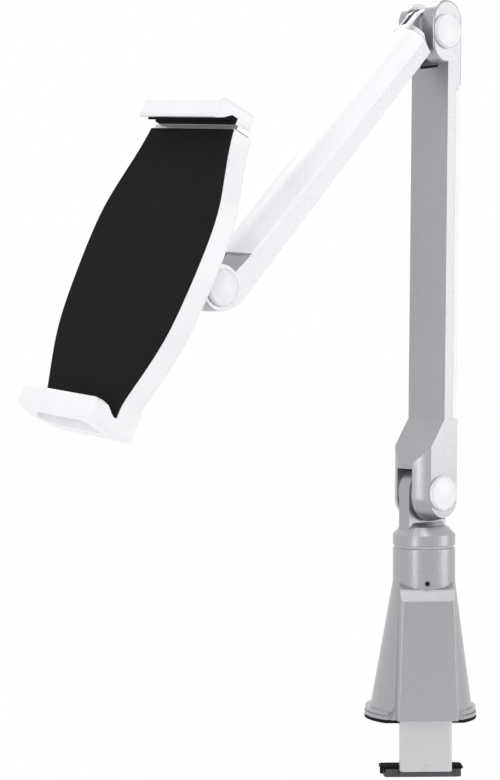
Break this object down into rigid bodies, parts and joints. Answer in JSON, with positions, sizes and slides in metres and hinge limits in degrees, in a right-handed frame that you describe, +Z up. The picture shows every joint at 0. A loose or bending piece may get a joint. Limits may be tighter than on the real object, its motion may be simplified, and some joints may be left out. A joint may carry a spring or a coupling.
{
  "type": "tablet arm mount",
  "caption": "Folding two-link arm on a desk clamp pedestal, carrying a tilting and turning spring-jaw holder for a tablet.",
  "frame": {"origin": "on the swivel axis in the plane of the desk top, which is the underside of the foot's rubber pad", "axes": "+Z up along the swivel axis, -Y out of the front of the pedestal where the clamp bar is, +X to the right of someone who faces that front"},
  "size_m": [0.311, 0.2761, 0.5377],
  "materials": {
    "silver_paint": "satin silver coating on cast and extruded aluminium",
    "white_plastic": "smooth white moulded plastic",
    "black_rubber": "matt black rubber sheet",
    "bright_steel": "brushed",
    "dark_steel": "blackened",
    "dark_cast": "dark grey paint",
    "pale_bearing": "natural bearing plastic"
  },
  "bodies": {
    "pedestal": {"pedestal_body": "silver_paint", "foot_rubber_pad": "black_rubber", "swivel_bush": "pale_bearing", "swivel_set_screw": "dark_steel"},
    "clamp_bracket": {"clamp_bar": "bright_steel", "clamp_jaw": "dark_cast", "clamp_jaw_rubber": "black_rubber", "clamp_rivet": "bright_steel"},
    "draw_screw": {"clamp_screw": "dark_steel", "clamp_screw_clip": "dark_steel"},
    "turning_head": {"swivel_head": "silver_paint", "swivel_washer": "bright_steel", "swivel_screw": "dark_steel"},
    "lower_arm": {"lower_arm_frame": "silver_paint", "lower_arm_cover": "white_plastic", "shoulder_washer_left": "pale_bearing", "shoulder_washer_right": "pale_bearing", "shoulder_bolt": "bright_steel", "shoulder_spring_washer": "bright_steel", "shoulder_nut": "bright_steel", "shoulder_cap_right": "white_plastic", "shoulder_cap_left": "white_plastic", "elbow_washer_left": "pale_bearing", "elbow_washer_right": "pale_bearing", "elbow_bolt": "bright_steel", "elbow_spring_washer": "bright_steel", "elbow_nut": "bright_steel", "elbow_cap_right": "white_plastic", "elbow_cap_left": "white_plastic"},
    "upper_arm": {"upper_arm_frame": "silver_paint", "upper_arm_cover": "white_plastic", "wrist_washer_left": "pale_bearing", "wrist_washer_right": "pale_bearing", "wrist_bolt": "bright_steel", "wrist_spring_washer": "bright_steel", "wrist_nut": "bright_steel", "wrist_cap_right": "white_plastic", "wrist_cap_left": "white_plastic"},
    "wrist": {"wrist_block": "silver_paint", "holder_spring_washer": "bright_steel", "holder_nut": "bright_steel"},
    "holder": {"holder_friction_washer": "pale_bearing", "holder_shell": "white_plastic", "holder_pad": "black_rubber", "holder_cover": "white_plastic", "jaw_spring_roll": "bright_steel"},
    "sliding_jaw": {"upper_jaw": "white_plastic", "upper_jaw_liner": "black_rubber", "upper_slide_plate": "bright_steel"}
  },
  "joints": [
    {"name": "clamp_slide", "type": "slide", "parent": "pedestal", "child": "clamp_bracket", "axis": [0, 0, 1], "range_m": [-0.03, 0.018]},
    {"name": "draw_screw_turn", "type": "hinge", "parent": "clamp_bracket", "child": "draw_screw", "pos_m": [0, -0.0103, -0.03], "axis": [0, 0, 1], "range_deg": [-13600, 8200]},
    {"name": "swivel", "type": "hinge", "parent": "pedestal", "child": "turning_head", "pos_m": [0, 0, 0.1225], "axis": [0, 0, 1], "continuous": true},
    {"name": "shoulder", "type": "hinge", "parent": "turning_head", "child": "lower_arm", "pos_m": [0, 0, 0.1608], "axis": [0.6187, -0.7856, 0], "range_deg": [-80, 80]},
    {"name": "elbow", "type": "hinge", "parent": "lower_arm", "child": "upper_arm", "pos_m": [0.00279, 0.0022, 0.47878], "axis": [-0.6187, 0.7856, 0], "range_deg": [-34, 135.3]},
    {"name": "wrist_tilt", "type": "hinge", "parent": "upper_arm", "child": "wrist", "pos_m": [-0.15509, -0.12213, 0.30044], "axis": [0.6187, -0.7856, 0], "range_deg": [-36, 138]},
    {"name": "holder_turn", "type": "hinge", "parent": "wrist", "child": "holder", "pos_m": [-0.15509, -0.12213, 0.30044], "axis": [-0.7203, -0.5672, 0.3994], "continuous": true},
    {"name": "jaw_slide", "type": "slide", "parent": "holder", "child": "sliding_jaw", "axis": [0.3644, 0.1805, 0.9136], "range_m": [0, 0.07], "stiffness_N_per_m": 60, "springref_m": -0.12}
  ],
  "couplings": [
    {"joint": "draw_screw_turn", "follows": "clamp_slide", "rad_per_m": 7854}
  ]
}
